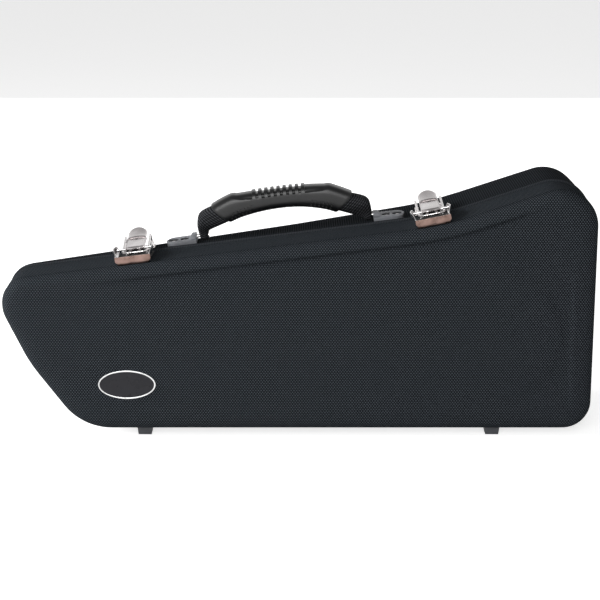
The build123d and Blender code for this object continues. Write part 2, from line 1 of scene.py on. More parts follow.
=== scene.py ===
"""Looks of the trumpet case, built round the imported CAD: fabric skins, handle, latches and interior.

Places are worked out in millimetres as the shells are drawn, with the parting plane at Y = 0 and the
shells' lowest edge at Z = 0. at() moves them to where the case stands and gives metres.
"""

import json
import math

import bpy
from mathutils import Matrix, Vector


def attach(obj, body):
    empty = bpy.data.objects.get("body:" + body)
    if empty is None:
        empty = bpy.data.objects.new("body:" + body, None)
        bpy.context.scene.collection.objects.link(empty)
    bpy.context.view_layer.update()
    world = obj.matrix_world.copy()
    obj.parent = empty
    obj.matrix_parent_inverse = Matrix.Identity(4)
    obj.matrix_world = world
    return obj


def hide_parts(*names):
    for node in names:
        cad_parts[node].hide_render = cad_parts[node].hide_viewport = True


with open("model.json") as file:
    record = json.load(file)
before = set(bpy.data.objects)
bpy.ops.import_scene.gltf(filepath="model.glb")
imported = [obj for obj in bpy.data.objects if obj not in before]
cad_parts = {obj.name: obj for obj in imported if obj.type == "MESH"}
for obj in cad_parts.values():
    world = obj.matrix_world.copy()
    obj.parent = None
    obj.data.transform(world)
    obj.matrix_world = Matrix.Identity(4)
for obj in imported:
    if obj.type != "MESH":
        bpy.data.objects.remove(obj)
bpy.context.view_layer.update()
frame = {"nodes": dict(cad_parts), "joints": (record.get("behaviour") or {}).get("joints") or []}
nodes = frame["nodes"]
joints = {joint["name"]: joint for joint in frame["joints"]}

# ---- sizes repeated from the case's drawing, in millimetres ----
HINGE_AXIS_Z = -2.1
MOVED = Vector(joints["lid_hinge"]["pos_m"]) * 1000 - Vector((0.0, 0.0, HINGE_AXIS_Z))
CORNERS = [(-215.0, 0.0), (286.5, 0.0), (285.5, 254.2), (136.8, 204.9), (-289.0, 151.3), (-289.0, 119.0),
           (-264.5, 67.0)]
CORNER_RADII = [58.0, 28.0, 37.0, 350.0, 26.0, 32.0, 150.0]
BEND_XS, BEND_YS = (-289.0, -5.0, 155.0, 285.5), (12.5, 47.0, 80.0, 80.0)
BEND_BLENDS = (0.0, 16.5, 16.3, 0.0)
BASE_DEPTH = 80.0
HINGE_XS, HINGE_HALF = (-92.0, 128.0), 31.0
HANDLE_AXIS_HEIGHT = 5.6
LATCH_PIVOT = (0.0, -24.0, 9.5)
COLUMN_PITCH = 3.6
SPINE = ((-196.0, 84.0), (228.0, 116.0))
SPINE_STOPS = 56


def at(x, y, z):
    """A place in the shells' drawing, moved to where the case stands, in metres."""
    return (Vector((x, y, z)) + MOVED) / 1000


def frame_on_wall(joint_name, x, y, z):
    """A frame on the top wall: X along the wall and Z out of it. The joint's point is at x, y, z in it."""
    joint = joints[joint_name]
    along = Vector(joint["axis"]).normalized()
    back = Vector((0.0, 1.0, 0.0))
    turn = Matrix((along, back, along.cross(back))).transposed()
    origin = Vector(joint["pos_m"]) * 1000 - turn @ Vector((x, y, z))
    return Matrix.Diagonal((0.001, 0.001, 0.001, 1.0)) @ Matrix.Translation(origin) @ turn.to_4x4()


def ease(value, low, high):
    """0 below low and 1 above high, with a smooth rise between them."""
    share = min(max((value - low) / (high - low), 0.0), 1.0)
    return share * share * (3 - 2 * share)


# ---- materials ----
class Level:
    """A shader value. Sums and products of levels add their Math nodes."""

    def __init__(self, paint, socket):
        self.paint = paint
        self.socket = socket

    def math(self, operation, *values):
        return self.paint.add("Math", {"operation": operation}, dict(enumerate((self, *values))))

    def __add__(self, other):
        return self.math("ADD", other)

    def __sub__(self, other):
        return self.math("SUBTRACT", other)

    def __rsub__(self, other):
        return self.paint.add("Math", {"operation": "SUBTRACT"}, {0: other, 1: self})

    def __mul__(self, other):
        return self.math("MULTIPLY", other)

    def __truediv__(self, other):
        return self.math("DIVIDE", other)

    __radd__ = __add__
    __rmul__ = __mul__

    def floor(self):
        return self.math("FLOOR")

    def most(self, other):
        return self.math("MAXIMUM", other)

    def wave(self, pitch):
        """A cosine of the level, from -1 to 1, that repeats after pitch."""
        return (self * (2 * math.pi / pitch)).math("COSINE")

    def between(self, low, high):
        """0 below low, 1 above high and smooth in between."""
        return self.paint.add("MapRange", {"interpolation_type": "SMOOTHSTEP"},
                              {"Value": self, "From Min": low, "From Max": high})


class Paint:
    """A material round one Principled BSDF. add() makes every other node."""

    def __init__(self, name, **fixed):
        self.material = bpy.data.materials.new(name)
        self.material.use_nodes = True
        self.tree = self.material.node_tree
        self.shader = self.tree.nodes["Principled BSDF"]
        self.fill(self.shader, {key.replace("_", " "): value for key, value in fixed.items()})

    def fill(self, node, sockets):
        for key, value in sockets.items():
            if isinstance(value, Level):
                self.tree.links.new(value.socket, node.inputs[key])
            else:
                node.inputs[key].default_value = value

    def add(self, kind, settings=None, sockets=None, output=0):
        node = self.tree.nodes.new("ShaderNode" + kind)
        for key, value in (settings or {}).items():
            setattr(node, key, value)
        self.fill(node, sockets or {})
        return Level(self, node.outputs[output])

    def parts_of(self, vector):
        return [self.add("SeparateXYZ", None, {"Vector": vector}, axis) for axis in range(3)]

    def object_place(self):
        """X, Y and Z on the object, in millimetres."""
        place = self.add("TexCoord", None, None, 3)
        return [part * 1000 for part in self.parts_of(place)]

    def cloth_place(self, name="cloth"):
        """Across and along the cloth, in millimetres, from one of the piece's own UV maps."""
        place = self.add("UVMap", {"uv_map": name})
        return [part * 1000 for part in self.parts_of(place)[:2]]

    def pressed(self, name):
        """A number that the piece holds at each of its points."""
        return self.add("Attribute", {"attribute_name": name}, None, 2)

    def noise(self, scale, detail=2.0, roughness=0.5, place=None):
        """Noise about 0.5 whose features are roughly scale millimetres wide."""
        sockets = {"Vector": place or self.add("TexCoord", None, None, 3), "Scale": 1000 / scale,
                   "Detail": detail, "Roughness": roughness}
        return self.add("TexNoise", None, sockets)

    def mixed(self, share, low, high):
        """A colour between two colours, each a tuple or a linked colour."""
        return self.add("Mix", {"data_type": "RGBA"},
                        {0: share, 6: rgba(low), 7: rgba(high)}, 2)

    def carve(self, height, depth, strength=1.0):
        """Bumps of that height pattern, depth millimetres deep."""
        self.fill(self.shader, {"Normal": self.add(
            "Bump", None, {"Height": height, "Distance": depth / 1000, "Strength": strength})})

    def finish(self, **sockets):
        self.fill(self.shader, {key.replace("_", " "): value for key, value in sockets.items()})
        return self.material


def rgba(colour):
    return colour if isinstance(colour, Level) or len(colour) == 4 else (*colour, 1.0)


def woven_nylon():
    """Coarse nylon: staggered yarn loops, ribs where it is drawn tight over the base's wall, and painted
    shade on that wall and in the creases.
    """
    paint = Paint("woven_nylon", Specular_IOR_Level=0.003)
    across, along = paint.cloth_place()
    girth, _ = paint.cloth_place("girth")
    wall = paint.pressed("wall")
    seam = paint.pressed("seam")
    wobble = paint.noise(60.0) * 1.2
    row = (along + wobble) / 1.75
    loops = (across + wobble) / 2.65 + row.floor() * 0.5
    row_round = ((row - row.floor()) * math.pi).math("SINE")
    loop_round = (loops.wave(1.0) + 1) * 0.5
    ribs = (girth.wave(2.3) + 1) * 0.5
    height = row_round * loop_round * (1 - wall) + (ribs * 0.5 + row_round * 0.1) * wall
    worn = paint.noise(90.0, 3.0, 0.6)
    fibre = paint.noise(1.1, 2.0, 0.7)
    # Painted shade: the creases are darkened, in dots along them.
    painted_crease_shade = seam * (girth.wave(3.4) * 0.3 + 0.7)
    lift = (height * 0.95 + fibre * 0.3 - 0.15) * (1 - painted_crease_shade * 0.8)
    colour = paint.mixed(lift, (0.0021, 0.0026, 0.0034), (0.076, 0.087, 0.099))
    colour = paint.mixed(worn.between(0.35, 0.75) * 0.25, colour, (0.020, 0.024, 0.029))
    # Painted shade: the base's wall is darkened to half.
    colour = paint.mixed(wall * 0.5, colour, (0.004, 0.0041, 0.0044))
    paint.carve(height * (1 - seam * 0.5) + fibre * 0.15, 0.5, 0.7)
    return paint.finish(Base_Color=colour, Roughness=0.85 - height * 0.2)


def edge_tape(name, dark, light):
    """Tight ribbed tape of a shell's edge binding."""
    paint = Paint(name, Specular_IOR_Level=0.01)
    across, along = paint.cloth_place()
    ribs = (across.wave(1.6) + 1) * 0.5
    fibre = paint.noise(0.9, 2.0, 0.7)
    colour = paint.mixed(ribs * 0.7 + fibre * 0.4, dark, light)
    paint.carve(ribs + fibre * 0.3, 0.25, 0.6)
    return paint.finish(Base_Color=colour, Roughness=0.66 - ribs * 0.12)


def webbing():
    """Woven strap: thick wefts across it, tied by fine warps."""
    paint = Paint("webbing", Specular_IOR_Level=0.04)
    across, along = paint.cloth_place()
    weft = (along.wave(2.4) + 1) * 0.5
    warp = (across.wave(1.7) + 1) * 0.5
    fibre = paint.noise(0.8, 2.0, 0.7)
    height = weft * (warp * 0.6 + 0.4)
    colour = paint.mixed(height + fibre * 0.25 - 0.1, (0.003, 0.0032, 0.0036), (0.060, 0.062, 0.068))
    paint.carve(height + fibre * 0.2, 0.55, 0.9)
    return paint.finish(Base_Color=colour, Roughness=0.85 - weft * 0.15)


def plush(name, dark, light, pile=1.3):
    """Short pile that lies in soft patches."""
    paint = Paint(name, Sheen_Weight=0.35, Sheen_Roughness=0.5, Specular_IOR_Level=0.2)
    tufts = paint.noise(pile, 3.0, 0.7)
    nap = paint.noise(34.0, 3.0, 0.55)
    colour = paint.mixed(tufts * 0.6 + nap.between(0.35, 0.7) * 0.5, dark, light)
    paint.carve(tufts + nap * 0.4, 0.7, 0.7)
    return paint.finish(Base_Color=colour, Roughness=0.95 - nap * 0.08)


def moulded(name, dark, light, grain, roughness, depth, rub=0.06, gloss=0.35):
    """Moulded plastic or rubber with a fine grain and faint rubbing."""
    paint = Paint(name, Specular_IOR_Level=gloss)
    fine = paint.noise(grain, 2.0, 0.6)
    patch = paint.noise(26.0, 3.0, 0.6)
    colour = paint.mixed(patch.between(0.3, 0.75), dark, light)
    paint.carve(fine + patch * 0.2, depth, 0.6)
    return paint.finish(Base_Color=colour, Roughness=fine * rub + patch * rub + roughness)


def plated(name, tone, bright, roughness, streak=22.0):
    """Plated metal with cloudy patches and faint hairlines."""
    paint = Paint(name, Metallic=1.0)
    x, y, z = paint.object_place()
    cloud = paint.noise(streak, 2.0, 0.5)
    stretched = paint.add("CombineXYZ", None, {"X": x * 0.0009, "Y": y * 0.03, "Z": z * 0.03})
    hair = paint.noise(120.0, 2.0, 0.7, stretched)
    shade = cloud.between(0.35, 0.65) * 0.75 + hair * 0.25
    paint.carve(hair, 0.006, 0.3)
    return paint.finish(Base_Color=paint.mixed(shade, tone, bright), Roughness=cloud * 0.12 + roughness)


def lacquer():
    """Black lacquer of the bare badge, with a faint orange-peel surface."""
    paint = Paint("badge_lacquer", Specular_IOR_Level=0.2)
    peel = paint.noise(2.2, 2.0, 0.5)
    cloud = paint.noise(18.0, 3.0, 0.6)
    colour = paint.mixed(cloud, (0.008, 0.008, 0.010), (0.018, 0.018, 0.022))
    paint.carve(peel, 0.02, 0.5)
    return paint.finish(Base_Color=colour, Roughness=cloud * 0.12 + 0.22)


NYLON = woven_nylon()
# Painted highlight and shade: the lid's tape is lighter, for the bright line along its bead, and the base's
# tape darker, for the shade in the gap behind it.
LID_TAPE = edge_tape("lid_tape", (0.009, 0.010, 0.0115), (0.040, 0.044, 0.050))
BASE_TAPE = edge_tape("base_tape", (0.003, 0.0033, 0.0038), (0.014, 0.0155, 0.018))
STRAP = webbing()
LID_PLUSH = plush("lid_plush", (0.012, 0.012, 0.015), (0.050, 0.050, 0.058))
BED_PLUSH = plush("bed_plush", (0.012, 0.012, 0.015), (0.050, 0.050, 0.058), 1.5)
GRIP_RUBBER = moulded("grip_rubber", (0.0030, 0.0031, 0.0034), (0.0070, 0.0072, 0.0077), 0.6, 0.29, 0.03,
                      gloss=0.42)
GREY_PLASTIC = moulded("grey_plastic", (0.095, 0.100, 0.110), (0.160, 0.166, 0.180), 0.8, 0.40, 0.06)
# Painted shade for the hollows of the handle plates.
HOLLOW_SHADE_PLASTIC = moulded("plastic_painted_hollow_shade", (0.012, 0.0125, 0.014), (0.028, 0.029, 0.032), 0.8, 0.5, 0.06)
FOOT_PLASTIC = moulded("foot_plastic", (0.040, 0.042, 0.047), (0.070, 0.073, 0.080), 0.9, 0.58, 0.10)
DARK_NICKEL = plated("dark_nickel", (0.46, 0.435, 0.435), (0.64, 0.61, 0.61), 0.16)
# Painted shade for the inside of the latch brackets.
BRACKET_SHADE_BLACK = moulded("painted_bracket_shade_black", (0.004, 0.004, 0.004), (0.010, 0.010, 0.010), 0.5, 0.6, 0.02, 0.1, 0.1)
# Painted reflection: dark, copper-toned nickel for the front of the latch brackets.
COPPER_REFLECTION_NICKEL = plated("nickel_painted_copper_reflection", (0.13, 0.085, 0.07), (0.27, 0.18, 0.155), 0.22, 12.0)
# Nickel of the pins and rivets, also given to the bails and the brackets' wings as a painted highlight.
NICKEL = plated("nickel", (0.62, 0.60, 0.60), (0.80, 0.78, 0.78), 0.18)
BADGE_METAL = plated("badge_metal", (0.50, 0.50, 0.50), (0.74, 0.74, 0.74), 0.22)
LACQUER = lacquer()


# ---- ways of making a piece ----
def nothing_selected():
    bpy.ops.object.select_all(action="DESELECT")


def make_active(piece):
    nothing_selected()
    piece.select_set(True)
    bpy.context.view_layer.objects.active = piece


def apply_modifier(piece, kind, **settings):
    make_active(piece)
    modifier = piece.modifiers.new(kind.lower(), kind)
    for key, value in settings.items():
        setattr(modifier, key, value)
    bpy.ops.object.modifier_apply(modifier=modifier.name)


def clean(piece, gap=0.00002, flat=None, inwards=None):
    """Merges doubles. flat dissolves faces in one plane, and inwards is a point the faces look away from."""
    make_active(piece)
    bpy.ops.object.mode_set(mode="EDIT")
    bpy.ops.mesh.select_all(action="SELECT")
    bpy.ops.mesh.remove_doubles(threshold=gap)
    if flat:
        bpy.ops.mesh.dissolve_limited(angle_limit=flat)
    bpy.ops.object.mode_set(mode="OBJECT")
    if inwards is not None:
        facing = sum((face.center - inwards).dot(face.normal) * face.area for face in piece.data.polygons)
        if facing < 0:
            bpy.ops.object.mode_set(mode="EDIT")
            bpy.ops.mesh.select_all(action="SELECT")
            bpy.ops.mesh.flip_normals()
            bpy.ops.object.mode_set(mode="OBJECT")
    return piece


def smooth(piece, degrees=40):
    make_active(piece)
    bpy.ops.object.shade_smooth_by_angle(angle=math.radians(degrees))
    return piece


def formed(name, columns, rows, place, maps=None, values=None):
    """A grid whose point (i, j) stands at place(i, j).

    maps gives UV maps by name and values gives numbers held at the points, each from a function of i and j.
    """
    nothing_selected()
    bpy.ops.mesh.primitive_grid_add(x_subdivisions=columns, y_subdivisions=rows, size=1)
    piece = bpy.context.object
    piece.name = name
    piece.location = (0, 0, 0)
    mesh = piece.data
    for vertex in mesh.vertices:
        j, i = divmod(vertex.index, columns + 1)
        vertex.co = place(i, j)
    mesh.uv_layers.remove(mesh.uv_layers[0])
    for key, flat_place in (maps or {}).items():
        layer = mesh.uv_layers.new(name=key).data
        for loop in mesh.loops:
            j, i = divmod(loop.vertex_index, columns + 1)
            layer[loop.index].uv = [value / 1000 for value in flat_place(i, j)]
    for key, value_at in (values or {}).items():
        held = mesh.attributes.new(key, "FLOAT", "POINT").data
        for vertex in mesh.vertices:
            j, i = divmod(vertex.index, columns + 1)
            held[vertex.index].value = value_at(i, j)
    return piece


def face_outwards(piece):
    """Turns the faces of a closed piece the right way."""
    make_active(piece)
    bpy.ops.object.mode_set(mode="EDIT")
    bpy.ops.mesh.select_all(action="SELECT")
    bpy.ops.mesh.normals_make_consistent(inside=False)
    bpy.ops.object.mode_set(mode="OBJECT")
    return piece


def closed_tube(name, ring, rows, place, maps=None):
    """A closed surface: ring points round it and rows along it. Its first and last rows are single points."""
    piece = formed(name, ring, rows, place, maps)
    return face_outwards(clean(piece))


def section_ring(count, power, width, height):
    """Points round a squared ellipse of half sizes 1. They are even on one of that width and height."""
    dense = []
    for step in range(720):
        turn = 2 * math.pi * step / 720
        cosine, sine = math.cos(turn), math.sin(turn)
        dense.append((math.copysign(abs(cosine) ** (2 / power), cosine),
                      math.copysign(abs(sine) ** (2 / power), sine)))
    gaps = [math.hypot((b[0] - a[0]) * width / 2, (b[1] - a[1]) * height / 2)
            for a, b in zip(dense, dense[1:] + dense[:1])]
    whole, walked, index, ring = sum(gaps), 0.0, 0, []
    for step in range(count):
        while walked + gaps[index] < whole * step / count:
            walked += gaps[index]
            index += 1
        ring.append((*dense[index], whole * step / count))
    return ring + [(*ring[0][:2], whole)]


def swept(name, frame_matrix, stops, count=16, power=2.8, rounding=0.6):
    """A bar with rounded ends through stops: each a centre, a half width and a half thickness, as vectors."""
    stops = [tuple(Vector(part) for part in stop) for stop in stops]
    ring = section_ring(count, power, 1.0, 1.0)
    (start, *_), (after, *_) = stops[:2]
    (before, *_), (end, *_) = stops[-2:]
    lead = (after - start).normalized() * rounding
    tail = (before - end).normalized() * rounding
    first, last = stops[0][1:], stops[-1][1:]
    rows = [(start, *first, 0.0), (start, *first, 0.6), (start + lead * 0.3, *first, 0.9)]
    rows += [(start + lead, *first, 1.0)] + [(*stop, 1.0) for stop in stops[1:-1]]
    rows += [(end + tail, *last, 1.0), (end + tail * 0.3, *last, 0.9), (end, *last, 0.6), (end, *last, 0.0)]

    def place(i, j):
        centre, side, rise, size = rows[j]
        across, up, _ = ring[i]
        return frame_matrix @ (centre + side * (across * size) + rise * (up * size))

    return closed_tube(name, count, len(rows) - 1, place)


def copied(node, name):
    """A copy of a CAD node's mesh, with its doubles merged and its flat faces whole."""
    mesh = nodes[node].data.copy()
    mesh.materials.clear()
    piece = bpy.data.objects.new(name, mesh)
    bpy.context.scene.collection.objects.link(piece)
    return clean(piece, 0.00001, math.radians(0.5))


def softened(node, width):
    """A copy of a CAD node with its sharp edges rounded."""
    piece = copied(node, node + "_finished")
    apply_modifier(piece, "BEVEL", width=width / 1000, segments=3, limit_method="ANGLE",
                   angle_limit=math.radians(30), harden_normals=False, use_clamp_overlap=True)
    return smooth(piece)


def dress(piece, body, material, slot, *replaced):
    """Gives a finished piece its material, its body and the CAD nodes that it stands for."""
    piece.data.materials.clear()
    piece.data.materials.append(material)
    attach(piece, body)
    if replaced:
        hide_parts(*replaced)
    return piece


def joined(name, pieces):
    make_active(pieces[0])
    for piece in pieces:
        piece.select_set(True)
    bpy.ops.object.join()
    whole = bpy.context.object
    whole.name = name
    return whole


# ---- the case's outline ----
def rounded(corners, radii):
    """Points round a polygon with round corners, each with the direction that points out of it."""
    count = len(corners)
    found = []
    for index in range(count):
        corner = Vector(corners[index])
        before = (Vector(corners[index - 1]) - corner).normalized()
        after = (Vector(corners[(index + 1) % count]) - corner).normalized()
        half = before.angle(after) / 2
        radius = radii[index]
        start = corner + before * (radius / math.tan(half))
        centre = corner + (before + after).normalized() * (radius / math.sin(half))
        turn = math.pi - 2 * half
        bulges = before.cross(after) > 0
        steps = max(8, int(turn * radius / 2))
        spoke = start - centre
        for step in range(steps + 1):
            angle = turn * step / steps * (-1 if bulges else 1)
            arm = Matrix.Rotation(angle, 2) @ spoke
            out = arm.normalized() * (1 if (corner - centre).dot(spoke) > 0 else -1)
            found.append((centre + arm, out))
    return found


def evenly(points, pitch):
    """The same closed line with points at an even pitch."""
    lengths = [(points[(i + 1) % len(points)][0] - points[i][0]).length for i in range(len(points))]
    whole = sum(lengths)
    count = round(whole / pitch)
    spaced = []
    index, walked = 0, 0.0
    for step in range(count):
        goal = whole * step / count
        while walked + lengths[index] < goal:
            walked += lengths[index]
            index += 1
        share = (goal - walked) / lengths[index] if lengths[index] else 0.0
        (a, out_a), (b, out_b) = points[index], points[(index + 1) % len(points)]
        spaced.append((a.lerp(b, share), out_a.lerp(out_b, share).normalized(), goal))
    return spaced, whole


def outwards(points):
    """Turns every outward direction of a concave corner's arc the right way."""
    middle = Vector((0.0, 110.0))
    return [(point, out if out.dot(point - middle) > 0 else -out) for point, out in points]


OUTLINE, GIRTH = evenly(outwards(rounded(CORNERS, CORNER_RADII)), COLUMN_PITCH)
COLUMNS = len(OUTLINE)


def base_depth_at(x):
    """How deep the base is at x, with its two bends eased."""
    for i in (1, 2):
        reach = BEND_BLENDS[i]
        slope_in = (BEND_YS[i] - BEND_YS[i - 1]) / (BEND_XS[i] - BEND_XS[i - 1])
        slope_out = (BEND_YS[i + 1] - BEND_YS[i]) / (BEND_XS[i + 1] - BEND_XS[i])
        off = x - BEND_XS[i]
        if abs(off) <= reach:
            return BEND_YS[i] + slope_in * off + (slope_out - slope_in) * (off + reach) ** 2 / (4 * reach)
    i = 0 if x < BEND_XS[1] else 1 if x < BEND_XS[2] else 2
    share = (x - BEND_XS[i]) / (BEND_XS[i + 1] - BEND_XS[i])
    return BEND_YS[i] + (BEND_YS[i + 1] - BEND_YS[i]) * share


def spine_point(flat):
    """The nearest of the stops along the middle of the panel."""
    start, end = (Vector(point) for point in SPINE)
    along = end - start
    share = min(max((flat - start).dot(along) / along.length_squared, 0.0), 1.0)
    return start + along * (round(share * SPINE_STOPS) / SPINE_STOPS)


def skin_place(i, inset, share):
    """A point of the skin in X and Z: inset from the outline, then a share of the way to the middle."""
    point, out, _ = OUTLINE[i % COLUMNS]
    flat = point - out * inset
    return flat.lerp(spine_point(flat), share) if share else flat


def crease_share(i):
    """1 along the middle of the case's top, and 0 at its ends and below."""
    point, out, _ = OUTLINE[i % COLUMNS]
    return ease(out.y, -0.3, 0.7) * ease(point.x, -235, -125) * (1 - ease(point.x, 185, 245))


def shell_skin(name, profile, middle_rows, depth_of, side, relief, ribbed=False):
    """A shell's fabric. profile rows are (inset, depth, pressed, dip), from the wall's edge to the panel.

    pressed marks a crease, where the weave is flattened and painted shade darkens the cloth. dip draws the
    skin in along the middle of the case's top. ribbed draws the cloth's yarns tight over the wall and paints
    shade on it.
    """
    shares = [(k / middle_rows) ** 1.15 for k in range(1, middle_rows + 1)]
    rows = [(*row, 0.0) for row in profile]
    inset, depth, _, _, _ = rows[-1]
    rows += [(inset, depth, 0.0, 0.0, share) for share in shares]
    lengths = [0.0]
    for a, b in zip(rows, rows[1:]):
        lengths.append(lengths[-1] + math.hypot(b[0] - a[0], b[1] - a[1]))
    edge_row = len(profile) - 1

    def place(i, j):
        inset, depth, _, dip, share = rows[j]
        flat = skin_place(i, inset, share)
        depth -= dip * crease_share(i)
        y = depth_of(flat.x, depth) if depth_of else depth
        y += relief(flat.x, flat.y, share) if share else 0.0
        return at(flat.x, side * y, flat.y)

    def cloth(i, j):
        inset, _, _, _, share = rows[j]
        if share:
            return skin_place(i, inset, share)
        out = OUTLINE[i % COLUMNS][1]
        edge = skin_place(i, rows[edge_row][0], 0.0)
        return edge + out * (lengths[edge_row] - lengths[j])

    def girth(i, j):
        return OUTLINE[i % COLUMNS][2] + (GIRTH if i == COLUMNS else 0.0), lengths[j]

    # Where the cloth is pressed into a crease: its weave is flattened there and painted shade darkens it.
    def seam(i, j):
        _, _, pressed, dip, _ = rows[j]
        return pressed * (crease_share(i) if dip else 1.0)

    # The mask of the base's wall, for its ribs and for its painted shade.
    def wall(i, j):
        inset, depth, _, _, share = rows[j]
        return 1 - ease(inset, 1.5, 7.0) * ease(depth, 20.0, 40.0) if ribbed and not share else 0.0

    piece = formed(name, COLUMNS, len(rows) - 1, place, {"cloth": cloth, "girth": girth},
                   {"seam": seam, "wall": wall})
    clean(piece, 0.00003, None, at(0, side * 10, 100))
    apply_modifier(piece, "SOLIDIFY", thickness=0.0022, offset=-1.0, use_rim=True)
    return smooth(piece, 60)


def arc_rows(centre_inset, centre_depth, reach_in, reach_out, start):
    """Profile rows round the shell's edge, from the wall to the panel."""
    angles = [math.radians(start + (90 - start) * step / 8) for step in range(9)]
    return [(centre_inset - reach_in * math.cos(angle), centre_depth + reach_out * math.sin(angle), 0.0, 0.0)
            for angle in angles]


# ---- lid and base ----
RIM_ROWS = [(2.4, 1.2, 0.3, 0.0), (1.7, 3.4, 0.9, 0.0), (1.5, 4.6, 0.5, 0.0), (1.0, 7.0, 0.0, 0.0)]
lid_profile = RIM_ROWS + [(0.8, 14.0, 0.0, 0.0), (0.7, 22.0, 0.0, 0.0), (0.7, 30.0, 0.0, 0.0),
                          (0.8, 38.0, 0.0, 0.0), (1.0, 44.0, 0.0, 0.0), (1.4, 47.2, 0.3, 0.0),
                          (2.4, 49.0, 1.0, 0.0), (2.9, 49.9, 1.0, 0.0), (2.3, 50.9, 0.9, 0.0),
                          (1.3, 52.0, 0.3, 0.0)]
lid_profile += arc_rows(12.0, 51.0, 11.2, 10.2, 10.0)
lid_profile += [(12.4, 61.25, 0.3, 0.3), (13.2, 61.35, 0.7, 0.9), (14.2, 61.5, 0.8, 1.2),
                (15.4, 61.6, 0.45, 0.7), (17.2, 61.8, 0.2, 0.2), (21.0, 61.9, 0.0, 0.0)]


def lid_relief(x, z, share):
    """How far the lid's panel stands out: a slight crown, and the step round the bell's bulge."""
    crown = 0.5 * ease(share, 0.25, 0.9)
    centre_x, centre_z, reach_x, reach_z = 180.0, 96.0, 74.0, 66.0
    off = math.hypot((x - centre_x) / reach_x, (z - centre_z) / reach_z)
    step = ease(off, 0.93, 1.05) * ease(x, 185.0, 225.0)
    return crown - 0.9 * step * (1 - ease(off, 1.25, 1.7)) * ease(share, 0.0, 0.15)


lid_skin = shell_skin("lid_skin", lid_profile, 26, None, -1, lid_relief)
dress(lid_skin, "lid", NYLON, "shell_fabric", "lid_shell")

base_profile = RIM_ROWS + [(0.8, 12.0, 0.0, 0.0), (0.7, 30.0, 0.0, 0.0), (0.7, 50.0, 0.0, 0.0),
                           (0.8, 64.0, 0.0, 0.0), (1.0, 71.0, 0.0, 0.0)]
base_profile += arc_rows(8.4, 72.6, 7.4, 7.2, 6.0)
base_profile += [(9.6, 79.7, 0.4, 0.3), (10.6, 79.7, 1.0, 1.0), (11.6, 79.7, 1.0, 1.0),
                 (13.0, 79.8, 0.4, 0.2), (16.0, 79.9, 0.0, 0.0)]
RIM_DEPTH, EDGE_START = 4.6, 72.6


def base_place_depth(x, depth):
    """A depth drawn for the deep end, drawn in where the base is shallow. Rim and edge keep their shape."""
    here = base_depth_at(x)
    if depth <= RIM_DEPTH:
        return depth
    edge = here - (BASE_DEPTH - EDGE_START)
    if depth < EDGE_START:
        return RIM_DEPTH + (depth - RIM_DEPTH) * (edge - RIM_DEPTH) / (EDGE_START - RIM_DEPTH)
    return here - (BASE_DEPTH - depth)


base_skin = shell_skin("base_skin", base_profile, 18, base_place_depth, 1,
                       lambda x, z, share: 0.4 * ease(share, 0.2, 0.9), ribbed=True)
dress(base_skin, "base", NYLON, "shell_fabric", "base_shell")


def edge_piping(name, side, node, body, tape):
    """The round bead and flat cap of one shell's edge, thinned where the hinges sit."""
    section = [(5.2, 1.6), (5.2, 0.2), (1.5, 0.2), (0.5, 0.35), (0.0, 0.95), (-0.15, 1.75), (0.0, 2.55),
               (0.5, 3.15), (1.5, 3.4), (2.6, 3.2), (2.6, 1.7), (5.2, 1.6)]

    def place(i, j):
        point, out, _ = OUTLINE[i % COLUMNS]
        inset, y = section[j]
        bottom = ease(-out.y, 0.9, 1.0)
        near_hinge = max(1 - ease(abs(point.x - x), HINGE_HALF, HINGE_HALF + 2) for x in HINGE_XS)
        inset = max(inset, 1.4 + 0.6 * (inset > 1.2)) if bottom * near_hinge > 0.4 else inset
        flat = point - out * inset
        return at(flat.x, side * y, flat.y)

    def cloth(i, j):
        return OUTLINE[i % COLUMNS][2] + (GIRTH if i == COLUMNS else 0.0), j * 1.3

    piece = formed(name, COLUMNS, len(section) - 1, place, {"cloth": cloth})
    return dress(smooth(face_outwards(clean(piece)), 50), body, tape, "binding", node)


edge_piping("lid_edge_piping", -1, "lid_rim_binding", "lid", LID_TAPE)
edge_piping("base_edge_piping", 1, "base_rim_binding", "base", BASE_TAPE)

# ---- lining of the lid ----
lining_profile = [(6.0, 1.6), (6.3, 1.05), (8.0, 0.9), (9.6, 1.2), (10.4, 2.2), (10.5, 5.0), (10.5, 20.0),
                  (10.5, 40.0), (10.7, 47.0), (11.8, 50.2), (14.2, 52.1), (17.5, 52.6), (20.0, 52.7)]
lining = shell_skin("lid_lining_plush", [(*row, 0.0, 0.0) for row in lining_profile], 16,
                    None, -1, lambda x, z, share: -0.8 * ease(share, 0.1, 0.8))
dress(face_outwards(lining), "lid", LID_PLUSH, "plush", "lid_lining")

# ---- fitted bed of the base ----
bed = copied("base_insert", "fitted_bed")
apply_modifier(bed, "REMESH", mode="VOXEL", voxel_size=0.0024)
apply_modifier(bed, "SMOOTH", factor=0.5, iterations=6)
dress(smooth(bed, 80), "base", BED_PLUSH, "plush", "base_insert")

flap = softened("compartment_flap", 1.0)
dress(flap, "flap", BED_PLUSH, "plush", "compartment_flap")

# ---- handle ----
HANDLE = frame_on_wall("handle_swing", 0.0, 0.0, HANDLE_AXIS_HEIGHT)
GRIP_HALF, GRIP_END, GRIP_LEAN = 13.0, 61.0, 9.0
GRIP_TOP = [(-72, 34.6), (-66, 37.6), (-58, 41.0), (-49, 43.9), (-40, 44.5), (-20, 45.2), (0, 45.5),
            (20, 45.1), (36, 44.1), (48, 42.3), (56, 38.9), (64, 34.9), (72, 30.6)]
GRIP_LOW = [(-60, 13.6), (-53, 16.2), (-40, 20.2), (-20, 23.4), (0, 24.4), (20, 22.9), (40, 18.3),
            (51, 13.9), (60, 10.0)]
SADDLE_HALF, SADDLE_LIP, SADDLE_DEPTH, RIB_GAP_DEPTH = 47.0, 6.3, 1.1, 2.5
RIB_XS = [-2.0 + 6.1 * step for step in range(-4, 5)]
RIB_HALF = 1.75
DOT_ROWS, DOT_COLUMNS = 3, 6


